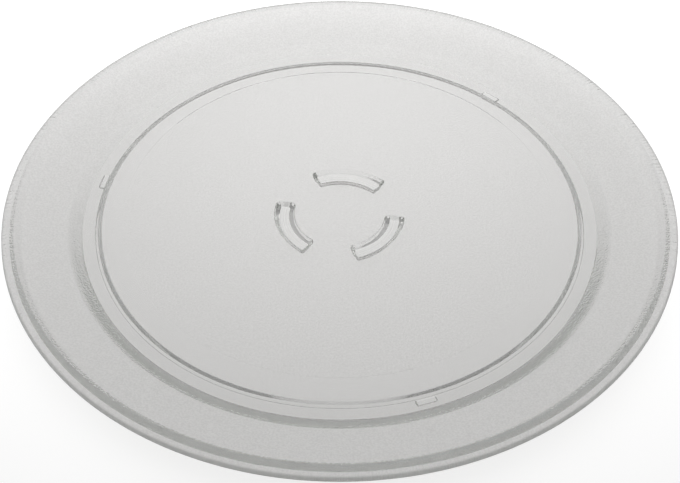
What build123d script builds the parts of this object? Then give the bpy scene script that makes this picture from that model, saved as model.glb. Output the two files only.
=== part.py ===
from build123d import *
import os
from math import degrees, radians, tan

# A microwave oven's turntable plate: one pressed-glass dish, turned from one section,
# with three curved drive lugs and three small standing pads pressed into its underside.
# The origin is on the plate's axis, on the surface that the pads stand on, with +Z up.
# All sizes are in millimetres and degrees.

# Whole plate
plate_diameter = 400.0

# Flat floor of the dish
base_thickness = 4.5

# Sloping rim, from its crest in to the floor, whose wall thickens towards the crest
rim_width = 31.3
rim_rise = 7.8
rim_wall = 5.0
crest_wall = 6.5
floor_bend_round = 9.0

# Thin lip outside the crest, with a leaning edge and a bevel under it
lip_width = 7.7
lip_fall = 1.0
lip_thickness = 3.2
lip_edge_draft = 8.0
lip_edge_round = 1.2
lip_corner_round = 0.3
crest_round = 1.2
bevel_inset = 11.05
bevel_slope = 31.0
bevel_round = 0.4
bevel_root_round = 5.0

# Foot ring under the floor's edge, which the rollers run inside
foot_setback = 7.4
foot_width = 7.3
foot_drop = 5.0
foot_outer_slope = 28.0
foot_edge_round = 0.5
rim_root_round = 2.5

# Inner side of the foot ring: a fine step at its edge, a wide chamfer and a drafted wall
foot_step = 0.4
foot_step_draft = 15.0
foot_step_round = 0.1
foot_chamfer_height = 1.15
foot_chamfer_draft = 66.0
foot_chamfer_round = 0.3
foot_inner_draft = 25.5
foot_root_round = 2.0

# Fine crease in the floor, at the inner edge of the roller track
track_width = 13.1
crease_width = 0.8
crease_depth = 0.2

# Drive lugs, which the oven's coupler turns
lug_count = 3
lug_radius = 33.3
lug_tip_width = 5.9
lug_span = 66.0
lug_height = 6.2
lug_side_draft = 25.0
lug_end_draft = 22.0
lug_corner_round = 1.0
lug_tip_round = 0.6
lug_root_round = 1.4
lug_turn = 80.0

# Standing pads under the foot ring
pad_count = 3
pad_length = 11.0
pad_width = 3.0
pad_height = 1.6
pad_setback = 0.4
pad_draft = 10.0
pad_corner_round = 0.6
pad_turn = 48.3

# How far a lug or pad is carried into the glass above it
root_depth = 0.5

# Heights
foot_bottom = pad_height
foot_step_top = foot_bottom + foot_step
foot_chamfer_top = foot_bottom + foot_chamfer_height
base_bottom = foot_bottom + foot_drop
base_top = base_bottom + base_thickness
crest_top = base_top + rim_rise
edge_top = crest_top - lip_fall
edge_bottom = edge_top - lip_thickness

# Radii, from the outer edge inwards
plate_radius = plate_diameter / 2
edge_top_radius = plate_radius - lip_thickness * tan(radians(lip_edge_draft))
crest_radius = plate_radius - lip_width
bevel_radius = plate_radius - bevel_inset
floor_radius = crest_radius - rim_width
foot_outer_radius = floor_radius - foot_setback
foot_inner_radius = foot_outer_radius - foot_width
foot_step_radius = foot_inner_radius + foot_step * tan(radians(foot_step_draft))
chamfer_radius = foot_inner_radius - (foot_chamfer_top - foot_step_top) * tan(radians(foot_chamfer_draft))
track_radius = chamfer_radius - (base_bottom - foot_chamfer_top) * tan(radians(foot_inner_draft))
crease_radius = track_radius - track_width


def rim_under(radius):
    """Height of the rim's underside, where the wall thickens a little towards the crest."""
    rise = rim_rise - crest_wall + rim_wall
    return base_top - rim_wall + (radius - floor_radius) * rise / rim_width


def lip_under(radius):
    """Height of the lip's underside, which runs parallel to its top."""
    return crest_top - lip_thickness - (radius - crest_radius) * lip_fall / lip_width


def slope_end(radius, height, slope, surface):
    """Where a slope that climbs outwards from a point meets a straight underside."""
    climb = tan(radians(slope))
    grade = surface(radius + 1) - surface(radius)
    run = (surface(radius) - height) / (climb - grade)
    return radius + run, height + run * climb


def dish():
    """The turned body: floor, rim, lip and foot ring, with the crease cut in the floor."""
    bevel_start = (bevel_radius, rim_under(bevel_radius))
    corners = [
        ((floor_radius, base_top), floor_bend_round),
        ((crest_radius, crest_top), crest_round),
        ((edge_top_radius, edge_top), lip_edge_round),
        ((plate_radius, edge_bottom), lip_corner_round),
        (slope_end(*bevel_start, bevel_slope, lip_under), bevel_round),
        (bevel_start, bevel_root_round),
        (slope_end(foot_outer_radius, foot_bottom, foot_outer_slope, rim_under), rim_root_round),
        ((foot_outer_radius, foot_bottom), foot_edge_round),
        ((foot_step_radius, foot_bottom), foot_step_round),
        ((foot_inner_radius, foot_step_top), foot_step_round),
        ((chamfer_radius, foot_chamfer_top), foot_chamfer_round),
        ((track_radius, base_bottom), foot_root_round),
    ]
    points = [(0, base_top)] + [point for point, _ in corners] + [(0, base_bottom)]
    outline = FilletPolyline(*points, radius=[rounding for _, rounding in corners])
    section = make_face(outline.edges() + [Line(points[-1], points[0])])

    crease_points = [
        (crease_radius - crease_width / 2, base_top),
        (crease_radius, base_top - crease_depth),
        (crease_radius + crease_width / 2, base_top),
    ]
    section -= make_face(Polyline(*crease_points, close=True))
    return revolve(Plane.XZ * section, Axis.Z)


def bent_face(height, radius, width, span, corner_round):
    """A level rectangle bent round the axis, centred on +X, with rounded corners."""
    inner = CenterArc((0, 0), radius - width / 2, -span / 2, span)
    outer = CenterArc((0, 0), radius + width / 2, -span / 2, span)
    face = make_face([inner, outer, Line(inner @ 0, outer @ 0), Line(inner @ 1, outer @ 1)])
    return Plane.XY.offset(height) * fillet(face.vertices(), corner_round)


def curved_block(radius, width, span, corner_round, bottom, top, side_draft, end_draft):
    """A block bent round the axis, centred on +X, that widens upwards from its tip."""
    side_run = (top - bottom) * tan(radians(side_draft))
    end_run = (top - bottom) * tan(radians(end_draft))
    root_span = span + degrees(2 * end_run / radius)
    tip = bent_face(bottom, radius, width, span, corner_round)
    root = bent_face(top, radius, width + 2 * side_run, root_span, corner_round + end_run)
    return loft([tip, root], ruled=True)


def drive_lug():
    """One curved lug, with its tip rounded."""
    lug = curved_block(
        lug_radius, lug_tip_width, lug_span, lug_corner_round,
        base_bottom - lug_height, base_bottom + root_depth, lug_side_draft, lug_end_draft,
    )
    return fillet(lug.faces().sort_by(Axis.Z)[0].edges(), lug_tip_round)


def standing_pad():
    """One small pad that lifts the foot ring off the surface."""
    pad_radius = foot_step_radius + pad_setback + pad_width / 2
    return curved_block(
        pad_radius, pad_width, degrees(pad_length / pad_radius), pad_corner_round,
        0, foot_bottom + root_depth, pad_draft, pad_draft,
    )


def turntable_plate():
    """The whole plate as one solid, with the lugs' roots blended into the floor."""
    lugs = PolarLocations(0, lug_count, start_angle=lug_turn)
    pads = PolarLocations(0, pad_count, start_angle=pad_turn)
    plate = dish() + lugs * drive_lug() + pads * standing_pad()
    underside = plate.faces().sort_by_distance((0, 0, base_bottom))[0]
    lug_roots = [edge for wire in underside.inner_wires() for edge in wire.edges()]
    return plate.fillet(lug_root_round, lug_roots)


os.makedirs("parts", exist_ok=True)
export_step(turntable_plate(), "parts/turntable_plate.step")
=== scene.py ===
import math

import bpy
from mathutils import Matrix, Vector


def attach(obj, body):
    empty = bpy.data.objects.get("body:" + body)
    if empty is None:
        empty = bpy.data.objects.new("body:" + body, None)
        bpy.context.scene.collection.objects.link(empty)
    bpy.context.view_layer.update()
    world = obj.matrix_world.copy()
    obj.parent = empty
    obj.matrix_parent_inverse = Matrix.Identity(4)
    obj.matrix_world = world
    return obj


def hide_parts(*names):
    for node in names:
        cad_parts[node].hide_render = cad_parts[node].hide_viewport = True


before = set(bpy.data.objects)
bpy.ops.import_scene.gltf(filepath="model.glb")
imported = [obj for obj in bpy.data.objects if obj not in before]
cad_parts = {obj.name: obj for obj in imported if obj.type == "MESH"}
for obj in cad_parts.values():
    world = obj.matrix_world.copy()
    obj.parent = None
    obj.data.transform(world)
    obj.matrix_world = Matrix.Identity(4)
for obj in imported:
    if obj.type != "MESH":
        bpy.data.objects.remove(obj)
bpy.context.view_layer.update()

# Sizes are in metres. The origin is on the plate's axis, on the surface that the pads stand on.
plate_radius = 0.2

# Flat floor of the dish, with a fine crease at the inner edge of the roller track
base_thickness = 0.0045
track_width = 0.0131
crease_width = 0.0008
crease_depth = 0.0002

# Sloping rim, whose wall thickens towards the crest
rim_width = 0.0313
rim_rise = 0.0078
rim_wall = 0.005
crest_wall = 0.0065
floor_bend_round = 0.009
crest_round = 0.0012

# Thin lip outside the crest, with a leaning edge and a bevel under it
lip_width = 0.0077
lip_fall = 0.001
lip_thickness = 0.0032
lip_edge_draft = math.radians(8)
lip_edge_round = 0.0012
lip_corner_round = 0.0003
bevel_inset = 0.01105
bevel_slope = math.radians(31)
bevel_round = 0.0004
bevel_root_round = 0.005

# Foot ring under the floor's edge
foot_setback = 0.0074
foot_width = 0.0073
foot_drop = 0.005
foot_outer_slope = math.radians(28)
foot_edge_round = 0.0005
rim_root_round = 0.0025

# Inner side of the foot ring: a fine step at its edge, a wide chamfer and a drafted wall
foot_step = 0.0004
foot_step_draft = math.radians(15)
foot_step_round = 0.0001
foot_chamfer_height = 0.00115
foot_chamfer_draft = math.radians(66)
foot_chamfer_round = 0.0003
foot_inner_draft = math.radians(25.5)
foot_root_round = 0.002

# Drive lugs and standing pads: three of each, bent round the axis, that hang from the underside
BLOCK_COUNT = 3
BLOCK_MEASURES = (
    "Radius", "Width", "Span", "Corner", "Height", "Run", "End Run", "Tip Blend", "Root Blend", "Turn",
)
lug_side_draft = math.radians(25)
lug_end_draft = math.radians(22)
lug_block = {
    "Lug Radius": 0.0333,
    "Lug Width": 0.0059,
    "Lug Span": math.radians(66),
    "Lug Corner": 0.001,
    "Lug Height": 0.0062,
    "Lug Run": math.tan(lug_side_draft),
    "Lug End Run": math.tan(lug_end_draft),
    "Lug Tip Blend": 0.0008,
    "Lug Root Blend": 0.0014,
    "Lug Turn": math.radians(80),
}
pad_height = 0.0016
pad_width = 0.003
pad_setback = 0.0004
pad_length = 0.011
pad_draft = math.radians(10)
pad_turn = math.radians(48.3)

# Heights and radii that follow from the sizes
foot_bottom = pad_height
foot_step_top = foot_bottom + foot_step
foot_chamfer_top = foot_bottom + foot_chamfer_height
base_bottom = foot_bottom + foot_drop
base_top = base_bottom + base_thickness
base_middle = (base_bottom + base_top) / 2
crest_top = base_top + rim_rise
edge_top = crest_top - lip_fall
edge_bottom = edge_top - lip_thickness
edge_top_radius = plate_radius - lip_thickness * math.tan(lip_edge_draft)
crest_radius = plate_radius - lip_width
bevel_radius = plate_radius - bevel_inset
floor_radius = crest_radius - rim_width
foot_outer_radius = floor_radius - foot_setback
foot_inner_radius = foot_outer_radius - foot_width
foot_step_radius = foot_inner_radius + foot_step * math.tan(foot_step_draft)
chamfer_radius = foot_inner_radius - (foot_chamfer_height - foot_step) * math.tan(foot_chamfer_draft)
track_radius = chamfer_radius - (foot_drop - foot_chamfer_height) * math.tan(foot_inner_draft)
crease_radius = track_radius - track_width
pad_radius = foot_step_radius + pad_setback + pad_width / 2
pad_block = {
    "Pad Radius": pad_radius,
    "Pad Width": pad_width,
    "Pad Span": pad_length / pad_radius,
    "Pad Corner": 0.0006,
    "Pad Height": pad_height,
    "Pad Run": math.tan(pad_draft),
    "Pad End Run": math.tan(pad_draft),
    "Pad Tip Blend": 0.0003,
    "Pad Root Blend": 0.0003,
    "Pad Turn": pad_turn,
}

# How finely the plate is meshed, with its columns gathered at the pads and extra rows at the lugs and pads
COLUMNS = 600
COLUMN_GATHER = 0.75
SEAM_GAP = 0.00002
ARC_STEP = math.radians(11)
SUPPORT = 0.0004
PLAIN_ROW = 0.05
LUG_ROW = 0.0004
PAD_ROW = 0.00032
LUG_ROW_REACH = 0.0075

# The camera, fitted to the rings of the plate in the photograph
IMAGE_WIDTH = 680
SENSOR_WIDTH = 36
camera_height = 0.6301
camera_back = 0.632
camera_side = 0.0002
camera_pitch = math.radians(45.65)
focal_pixels = 1473

# Floor and light
FLOOR_HALF = 4.0
FLOOR_GAP = 0.0001
FLOOR_WHITE = 0.92
FLOOR_LIFT = 0.12
FRONT_LIGHT = 0.285
BACK_LIGHT = 0.82
BACKDROP_GLOW = 0.7
GLOW_BACK = (-0.2, 0.6)
GLOW_RISE = (0.15, 0.5)
LIGHT_BOUNCES = 48
SOFT_BOX_WATTS = 1.93
soft_box_size = (0.3, 0.3)
soft_box_place = (0.0, 0.165, 0.45)

# Glass: its tint at the surface, grey partly as painted shade for the plate's shadow on the floor under it,
# its tint in its depth, and its pressed finish
GLASS_IOR = 1.5
# Grey surface tint: partly the glass's own tint, partly painted shade for the plate's shadow on the floor
# under it
GLASS_TINT_AND_PAINTED_SHADE = (0.632, 0.626, 0.622)
GRAIN_DARK = (0.50, 0.495, 0.49)
GRAIN_LIGHT = (0.77, 0.763, 0.758)
GRAIN_SPREAD = (0.25, 0.75)
MIDDLE_GRAIN = 0.5
RIM_GRAIN = 0.65
# Darker colour at the lip's edge: painted shade for the shadowed floor seen through the lip
EDGE_PAINTED_SHADE = (0.43, 0.428, 0.422)
# Lighter colour on the tips of the lugs and pads: real streaks, lightened with painted light against their
# shade
TIP_STREAK_PAINTED_LIGHT = (0.86, 0.86, 0.855)
TIP_LEVEL = 0.0006
TIP_STREAK_SIZE = 0.0007
TIP_STREAK_SPREAD = (0.35, 0.65)
SHADE_COLOUR = (0.82, 0.82, 0.815)
DEPTH_COLOUR = (0.80, 0.82, 0.795)
DEPTH_DENSITY = 11.0
CLEAR_ROUGHNESS = 0.02
MIDDLE_ROUGHNESS = 0.10
RIM_ROUGHNESS = 0.3
EDGE_ROUGHNESS = 0.5
EDGE_ZONE = 0.0016
ZONE_EDGE = 0.001
FLAT_EDGE = 0.0001
STIPPLE_SIZE = 0.0011
MIDDLE_STIPPLE = 0.00003
RIM_STIPPLE = 0.00012
STREAK_SIZE = 0.0012
LIP_STREAK = 0.0003
NOISE_DETAIL = 2.0


class Wire:
    """An output socket whose arithmetic adds Math nodes to its tree."""

    def __init__(self, socket):
        self.socket = socket

    @classmethod
    def node(cls, tree, kind, settings, sockets, output=0):
        """Adds a node, makes its settings, fills its sockets and gives one of its outputs."""
        made = tree.nodes.new(kind)
        for name, value in settings.items():
            setattr(made, name, value)
        for name, value in sockets.items():
            if isinstance(value, Wire):
                tree.links.new(value.socket, made.inputs[name])
            else:
                made.inputs[name].default_value = value
        return cls(made.outputs[output])

    def math(self, operation, *values):
        """A Math node of these values in order, in which None stands for this wire."""
        values = [self if value is None else value for value in values] or [self]
        tree = self.socket.id_data
        return Wire.node(tree, "ShaderNodeMath", {"operation": operation}, dict(enumerate(values)))

    def __add__(self, other):
        return self.math("ADD", None, other)

    def __radd__(self, other):
        return self.math("ADD", other, None)

    def __sub__(self, other):
        return self.math("SUBTRACT", None, other)

    def __rsub__(self, other):
        return self.math("SUBTRACT", other, None)

    def __mul__(self, other):
        return self.math("MULTIPLY", None, other)

    def __rmul__(self, other):
        return self.math("MULTIPLY", other, None)

    def __truediv__(self, other):
        return self.math("DIVIDE", None, other)

    def __rtruediv__(self, other):
        return self.math("DIVIDE", other, None)

    def __abs__(self):
        return self.math("ABSOLUTE")


def rim_under(radius):
    """Height of the rim's underside, where the wall thickens a little towards the crest."""
    rise = rim_rise - crest_wall + rim_wall
    return base_top - rim_wall + (radius - floor_radius) * rise / rim_width


def lip_under(radius):
    """Height of the lip's underside, which runs parallel to its top."""
    return crest_top - lip_thickness - (radius - crest_radius) * lip_fall / lip_width


def slope_end(radius, height, slope, surface):
    """Where a slope that climbs outwards from a point meets a straight underside."""
    climb = math.tan(slope)
    grade = (surface(2 * radius) - surface(radius)) / radius
    run = (surface(radius) - height) / (climb - grade)
    return radius + run, height + run * climb


def rounded(before, corner, after, radius):
    """Points of the arc that rounds a corner of the section."""
    if radius == 0:
        return [corner]
    back = (before - corner).normalized()
    ahead = (after - corner).normalized()
    turn = math.pi - back.angle(ahead)
    centre = corner + (back + ahead).normalized() * (radius / math.cos(turn / 2))
    start = corner + back * (radius * math.tan(turn / 2)) - centre
    sweep = math.copysign(turn, back.x * -ahead.y + back.y * ahead.x)
    steps = max(3, math.ceil(turn / ARC_STEP))
    return [centre + Matrix.Rotation(sweep * i / steps, 2) @ start for i in range(steps + 1)]


def stretch(start, end, row):
    """Points inside a straight stretch: one near each end, and rows no further apart than row."""
    length = (end - start).length
    margin = min(SUPPORT, length / 4)
    inner = length - 2 * margin
    rows = max(1, math.ceil(inner / row))
    return [start.lerp(end, (margin + inner * i / rows) / length) for i in range(rows + 1)]


def plate_section():
    """The section from the axis over the top, round the lip and back along the underside."""
    bevel_start = (bevel_radius, rim_under(bevel_radius))
    bevel_end = slope_end(*bevel_start, bevel_slope, lip_under)
    foot_slope_end = slope_end(foot_outer_radius, foot_bottom, foot_outer_slope, rim_under)
    lug_outer = lug_block["Lug Radius"] + LUG_ROW_REACH
    lug_inner = lug_block["Lug Radius"] - LUG_ROW_REACH
    corners = [
        ((0, base_top), 0, PLAIN_ROW),
        ((crease_radius - crease_width / 2, base_top), 0, PLAIN_ROW),
        ((crease_radius, base_top - crease_depth), 0, PLAIN_ROW),
        ((crease_radius + crease_width / 2, base_top), 0, PLAIN_ROW),
        ((floor_radius, base_top), floor_bend_round, PLAIN_ROW),
        ((crest_radius, crest_top), crest_round, PLAIN_ROW),
        ((edge_top_radius, edge_top), lip_edge_round, PLAIN_ROW),
        ((plate_radius, edge_bottom), lip_corner_round, PLAIN_ROW),
        (bevel_end, bevel_round, PLAIN_ROW),
        (bevel_start, bevel_root_round, PLAIN_ROW),
        (foot_slope_end, rim_root_round, PLAIN_ROW),
        ((foot_outer_radius, foot_bottom), foot_edge_round, PLAIN_ROW),
        ((foot_step_radius, foot_bottom), foot_step_round, PAD_ROW),
        ((foot_inner_radius, foot_step_top), foot_step_round, PLAIN_ROW),
        ((chamfer_radius, foot_chamfer_top), foot_chamfer_round, PLAIN_ROW),
        ((track_radius, base_bottom), foot_root_round, PLAIN_ROW),
        ((lug_outer, base_bottom), 0, PLAIN_ROW),
        ((lug_inner, base_bottom), 0, LUG_ROW),
        ((0, base_bottom), 0, PLAIN_ROW),
    ]
    places = [Vector(place) for place, _, _ in corners]
    points = [places[0]]
    for i in range(1, len(corners)):
        _, radius, row = corners[i]
        after = places[min(i + 1, len(corners) - 1)]
        arc = rounded(places[i - 1], places[i], after, radius)
        points += stretch(points[-1], arc[0], row) + arc
    return points


def hanging_depth(inputs, kind, radius, angle):
    """How far a ring of bent blocks hangs at each point, with its tips and roots blended."""
    size = {name: inputs[f"{kind} {name}"] for name in BLOCK_MEASURES}
    half_pitch = math.pi / BLOCK_COUNT
    aside = abs((angle - size["Turn"]).math("WRAP", None, half_pitch, -half_pitch))
    across = abs(radius - size["Radius"]) - size["Width"] / 2 + size["Corner"]
    end_scale = size["Run"] / size["End Run"]
    along = radius * (aside - size["Span"] / 2).math("SINE") * end_scale + size["Corner"]
    past = across.math("MAXIMUM", None, 0).math("POWER", None, 2)
    past = (past + along.math("MAXIMUM", None, 0).math("POWER", None, 2)).math("SQRT")
    outside = past + across.math("MAXIMUM", None, along).math("MINIMUM", None, 0) - size["Corner"]
    wall = size["Height"] - outside / size["Run"]
    tip = wall.math("SMOOTH_MIN", None, size["Height"], size["Tip Blend"])
    return tip.math("SMOOTH_MAX", None, 0, size["Root Blend"])


def pressed_plate_tree():
    """Turns a section's points round the axis and presses the lugs and pads out of the underside."""
    tree = bpy.data.node_groups.new("pressed_plate", "GeometryNodeTree")
    tree.interface.new_socket("Section", in_out="INPUT", socket_type="NodeSocketGeometry")
    tree.interface.new_socket("Columns", in_out="INPUT", socket_type="NodeSocketInt")
    for name in (*lug_block, *pad_block, "Column Gather", "Underside Limit"):
        tree.interface.new_socket(name, in_out="INPUT", socket_type="NodeSocketFloat")
    tree.interface.new_socket("Glass", in_out="INPUT", socket_type="NodeSocketMaterial")
    tree.interface.new_socket("Plate", in_out="OUTPUT", socket_type="NodeSocketGeometry")
    inputs = {socket.name: Wire(socket) for socket in tree.nodes.new("NodeGroupInput").outputs}

    def add(kind, settings, sockets, output=0):
        return Wire.node(tree, kind, settings, sockets, output)

    # On a centred grid of unit size, a point's place gives its share of the rows and of the turn
    section = inputs["Section"]
    rows = add("GeometryNodeAttributeDomainSize", {}, {"Geometry": section})
    sheet = add("GeometryNodeMeshGrid", {}, {
        "Size X": 1.0, "Size Y": 1.0, "Vertices X": rows, "Vertices Y": inputs["Columns"] + 1})
    place = add("GeometryNodeInputPosition", {}, {})
    row_share = add("ShaderNodeSeparateXYZ", {}, {0: place}, "X") + 0.5
    turn_share = add("ShaderNodeSeparateXYZ", {}, {0: place}, "Y") + 0.5

    # Each row takes its radius and height from its point of the section
    point = add("GeometryNodeSampleIndex", {"data_type": "FLOAT_VECTOR"}, {
        "Geometry": section, "Value": place, "Index": (row_share * (rows - 1)).math("ROUND")})
    radius = add("ShaderNodeSeparateXYZ", {}, {0: point}, "X")
    height = add("ShaderNodeSeparateXYZ", {}, {0: point}, "Z")

    # The columns gather at the pads, and the lugs and pads hang from the underside alone
    even = turn_share * (2 * math.pi)
    swing = ((even - inputs["Pad Turn"]) * BLOCK_COUNT).math("SINE")
    angle = even - swing * inputs["Column Gather"] / BLOCK_COUNT
    hang = hanging_depth(inputs, "Lug", radius, angle) + hanging_depth(inputs, "Pad", radius, angle)
    under = height.math("LESS_THAN", None, inputs["Underside Limit"])
    turned = add("ShaderNodeCombineXYZ", {}, {
        "X": radius * angle.math("COSINE"),
        "Y": radius * angle.math("SINE"),
        "Z": height - hang * under,
    })
    plate = add("GeometryNodeSetPosition", {}, {"Geometry": sheet, "Position": turned})
    plate = add("GeometryNodeMergeByDistance", {}, {"Geometry": plate, "Distance": SEAM_GAP})
    plate = add("GeometryNodeSetShadeSmooth", {}, {"Geometry": plate})
    plate = add("GeometryNodeRealizeInstances", {}, {"Geometry": plate})
    plate = add("GeometryNodeSetMaterial", {}, {"Geometry": plate, "Material": inputs["Glass"]})
    tree.links.new(plate.socket, tree.nodes.new("NodeGroupOutput").inputs["Plate"])
    return tree


def pressed_glass():
    """Clear pressed glass, a little grey-green, with a stippled underside and a streaked lip; its grey tint
    is partly painted shade, its edge is darkened with painted shade and its tips are lightened with painted
    light.
    """
    material = bpy.data.materials.new("pressed_glass")
    material.use_nodes = True
    tree = material.node_tree

    def add(kind, settings, sockets, output=0):
        return Wire.node(tree, kind, settings, sockets, output)

    def ramp(value, start, end):
        sockets = {"Value": value, "From Min": start, "From Max": end}
        return add("ShaderNodeMapRange", {"interpolation_type": "SMOOTHSTEP"}, sockets)

    def noise(vector, size):
        return add("ShaderNodeTexNoise", {}, {"Vector": vector, "Scale": 1 / size, "Detail": NOISE_DETAIL})

    def blend(share, below, above):
        # The Mix node has several sockets of one name, so its colours are given by their places
        return add("ShaderNodeMix", {"data_type": "RGBA"}, {0: share, 6: below, 7: above}, 2)

    place = add("ShaderNodeTexCoord", {}, {}, "Object")
    height = add("ShaderNodeSeparateXYZ", {}, {0: place}, "Z")
    level = add("ShaderNodeVectorMath", {"operation": "MULTIPLY"}, {0: place, 1: (1, 1, 0)})
    radius = add("ShaderNodeVectorMath", {"operation": "LENGTH"}, {0: level}, "Value")
    bearing = add("ShaderNodeVectorMath", {"operation": "NORMALIZE"}, {0: level})

    climb = (radius - floor_radius).math("MAXIMUM", None, 0).math("MINIMUM", None, rim_width)
    under = height.math("LESS_THAN", None, climb * (rim_rise / rim_width) + base_middle)
    middle = 1 - ramp(radius, crease_radius - ZONE_EDGE, crease_radius)
    middle = middle * ramp(height, base_bottom - FLAT_EDGE, base_bottom)
    outer = ramp(radius, foot_outer_radius, foot_outer_radius + ZONE_EDGE)
    lip = ramp(radius, bevel_radius, plate_radius)
    # The lip's outer edge zone: rougher, and darkened with painted shade below
    edge = ramp(radius, plate_radius - EDGE_ZONE, plate_radius - EDGE_ZONE / 2)

    grain = noise(place, STIPPLE_SIZE)
    round_lip = add("ShaderNodeVectorMath", {"operation": "SCALE"}, {0: bearing, "Scale": plate_radius})
    streak = noise(round_lip, STREAK_SIZE)
    relief = grain * under * (middle * MIDDLE_STIPPLE + outer * RIM_STIPPLE) + streak * lip * LIP_STREAK
    bump = add("ShaderNodeBump", {}, {"Height": relief, "Distance": 1.0})

    # The stipple shows as grain, the tips of the lugs and pads are streaked and lightened with painted
    # light, and the lip's edge is darkened with painted shade
    tip = 1 - ramp(height, TIP_LEVEL, 2 * TIP_LEVEL)
    along = noise(add("ShaderNodeCombineXYZ", {}, {"X": radius}), TIP_STREAK_SIZE)
    stippled = blend(ramp(grain, *GRAIN_SPREAD), (*GRAIN_DARK, 1), (*GRAIN_LIGHT, 1))
    # The grey tint, partly painted shade, with the stipple's random grain over it
    colour = blend(under * (middle * MIDDLE_GRAIN + outer * RIM_GRAIN), (*GLASS_TINT_AND_PAINTED_SHADE, 1), stippled)
    # Painted light: the tips of the lugs and pads are lightened, in streaks
    colour = blend(tip * ramp(along, *TIP_STREAK_SPREAD), colour, (*TIP_STREAK_PAINTED_LIGHT, 1))
    # Painted shade: the lip's outer edge is darkened
    colour = blend(edge, colour, (*EDGE_PAINTED_SHADE, 1))

    shader = tree.nodes["Principled BSDF"]
    tree.links.new(colour.socket, shader.inputs["Base Color"])
    shader.inputs["IOR"].default_value = GLASS_IOR
    shader.inputs["Transmission Weight"].default_value = 1.0
    pressed = under * (middle * MIDDLE_ROUGHNESS + outer * RIM_ROUGHNESS)
    roughness = pressed.math("MAXIMUM", None, edge * EDGE_ROUGHNESS) + CLEAR_ROUGHNESS
    tree.links.new(roughness.socket, shader.inputs["Roughness"])
    tree.links.new(bump.socket, shader.inputs["Normal"])
    depth = add("ShaderNodeVolumeAbsorption", {}, {"Color": (*DEPTH_COLOUR, 1), "Density": DEPTH_DENSITY})
    tree.links.new(depth.socket, tree.nodes["Material Output"].inputs["Volume"])

    # Light on its way to and from the floor goes straight through, a little shaded
    shade = add("ShaderNodeBsdfTransparent", {}, {"Color": (*SHADE_COLOUR, 1)})
    passing = add("ShaderNodeLightPath", {}, {}, "Is Shadow Ray").math(
        "MAXIMUM", None, add("ShaderNodeLightPath", {}, {}, "Is Diffuse Ray"))
    glass = add("ShaderNodeMixShader", {}, {0: passing, 1: Wire(shader.outputs[0]), 2: shade})
    tree.links.new(glass.socket, tree.nodes["Material Output"].inputs["Surface"])
    return material


def turned_plate():
    """The glass plate as one smooth closed mesh."""
    mesh = bpy.data.meshes.new("plate_section")
    mesh.from_pydata([(point.x, 0, point.y) for point in plate_section()], [], [])
    maker = bpy.data.objects.new("plate_maker", mesh)
    bpy.context.scene.collection.objects.link(maker)
    tree = pressed_plate_tree()
    modifier = maker.modifiers.new("pressed_plate", "NODES")
    modifier.node_group = tree
    values = {
        **lug_block,
        **pad_block,
        "Columns": COLUMNS,
        "Column Gather": COLUMN_GATHER,
        "Underside Limit": base_middle,
        "Glass": pressed_glass(),
    }
    for socket in tree.interface.items_tree:
        if socket.name in values:
            modifier[socket.identifier] = values[socket.name]
    graph = bpy.context.evaluated_depsgraph_get()
    plain = bpy.data.meshes.new_from_object(maker.evaluated_get(graph))
    bpy.data.objects.remove(maker)
    plate = bpy.data.objects.new("glass_plate", plain)
    bpy.context.scene.collection.objects.link(plate)
    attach(plate, "root")
    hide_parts("turntable_plate")


def studio_floor():
    """A plain white floor that the pads stand on, lifted to white where it is looked at."""
    mesh = bpy.data.meshes.new("studio_floor")
    sides = ((-1, -1), (1, -1), (1, 1), (-1, 1))
    corners = [(FLOOR_HALF * x, FLOOR_HALF * y, -FLOOR_GAP) for x, y in sides]
    mesh.from_pydata(corners, [], [(0, 1, 2, 3)])
    floor = bpy.data.objects.new("studio_floor", mesh)
    bpy.context.scene.collection.objects.link(floor)
    material = bpy.data.materials.new("white_floor")
    material.use_nodes = True
    tree = material.node_tree
    seen = Wire.node(tree, "ShaderNodeLightPath", {}, {}, "Is Camera Ray")
    for ray in ("Is Glossy Ray", "Is Transmission Ray"):
        seen = seen.math("MAXIMUM", None, Wire.node(tree, "ShaderNodeLightPath", {}, {}, ray))
    shader = tree.nodes["Principled BSDF"]
    shader.inputs["Base Color"].default_value = (FLOOR_WHITE, FLOOR_WHITE, FLOOR_WHITE, 1)
    shader.inputs["Roughness"].default_value = 1.0
    shader.inputs["Specular IOR Level"].default_value = 0.0
    shader.inputs["Emission Color"].default_value = (1, 1, 1, 1)
    tree.links.new((seen * FLOOR_LIFT).socket, shader.inputs["Emission Strength"])
    mesh.materials.append(material)
    return floor


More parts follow.
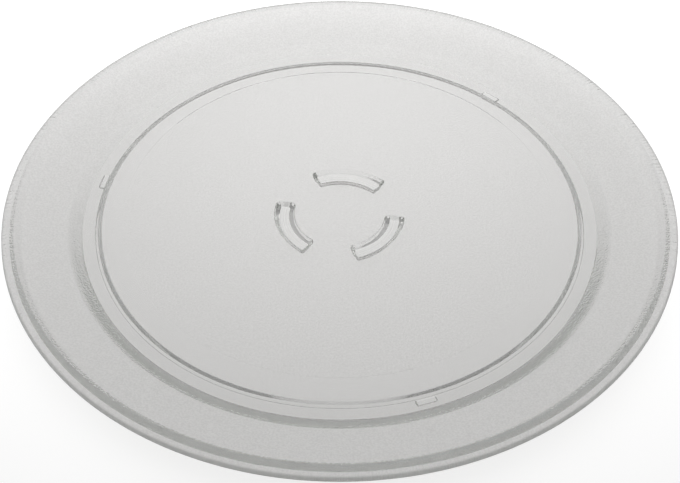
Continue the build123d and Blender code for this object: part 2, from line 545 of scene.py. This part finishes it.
def studio_light(floor):
    """Soft light with a glow low at the back, and a soft box over the plate that lights the floor alone."""
    world = bpy.data.worlds.new("studio")
    world.use_nodes = True
    tree = world.node_tree
    ray = Wire.node(tree, "ShaderNodeTexCoord", {}, {}, "Generated")
    back = Wire.node(tree, "ShaderNodeSeparateXYZ", {}, {0: ray}, "Y")
    rise = Wire.node(tree, "ShaderNodeSeparateXYZ", {}, {0: ray}, "Z")

    def ramp(interpolation, value, start, end, low, high):
        return Wire.node(tree, "ShaderNodeMapRange", {"interpolation_type": interpolation}, {
            "Value": value, "From Min": start, "From Max": end, "To Min": low, "To Max": high})

    behind = ramp("SMOOTHSTEP", back, *GLOW_BACK, 0.0, 1.0)
    glow = behind * ramp("SMOOTHSTEP", rise, *GLOW_RISE, BACKDROP_GLOW, 0.0)
    level = ramp("LINEAR", back, -1.0, 1.0, FRONT_LIGHT, BACK_LIGHT) + glow
    tree.links.new(level.socket, tree.nodes["Background"].inputs["Strength"])
    tree.nodes["Background"].inputs["Color"].default_value = (1, 1, 1, 1)
    bpy.context.scene.world = world
    data = bpy.data.lights.new("floor_soft_box", "AREA")
    data.shape = "RECTANGLE"
    data.size, data.size_y = soft_box_size
    data.energy = SOFT_BOX_WATTS
    lamp = bpy.data.objects.new("floor_soft_box", data)
    lamp.location = soft_box_place
    bpy.context.scene.collection.objects.link(lamp)
    lit = bpy.data.collections.new("lit_floor")
    lit.objects.link(floor)
    lamp.light_linking.receiver_collection = lit
    lamp.light_linking.blocker_collection = lit


def photograph_camera():
    """The camera at the photograph's place."""
    data = bpy.data.cameras.new("photograph_camera")
    data.sensor_width = SENSOR_WIDTH
    data.lens = SENSOR_WIDTH * focal_pixels / IMAGE_WIDTH
    camera = bpy.data.objects.new("photograph_camera", data)
    camera.location = (camera_side, -camera_back, camera_height)
    camera.rotation_euler = (math.pi / 2 - camera_pitch, 0, 0)
    bpy.context.scene.collection.objects.link(camera)
    bpy.context.scene.camera = camera


turned_plate()
studio_light(studio_floor())
photograph_camera()
bpy.context.scene.view_settings.view_transform = "Standard"
bpy.context.scene.cycles.max_bounces = LIGHT_BOUNCES
bpy.context.scene.cycles.transmission_bounces = LIGHT_BOUNCES
bpy.context.scene.cycles.glossy_bounces = LIGHT_BOUNCES
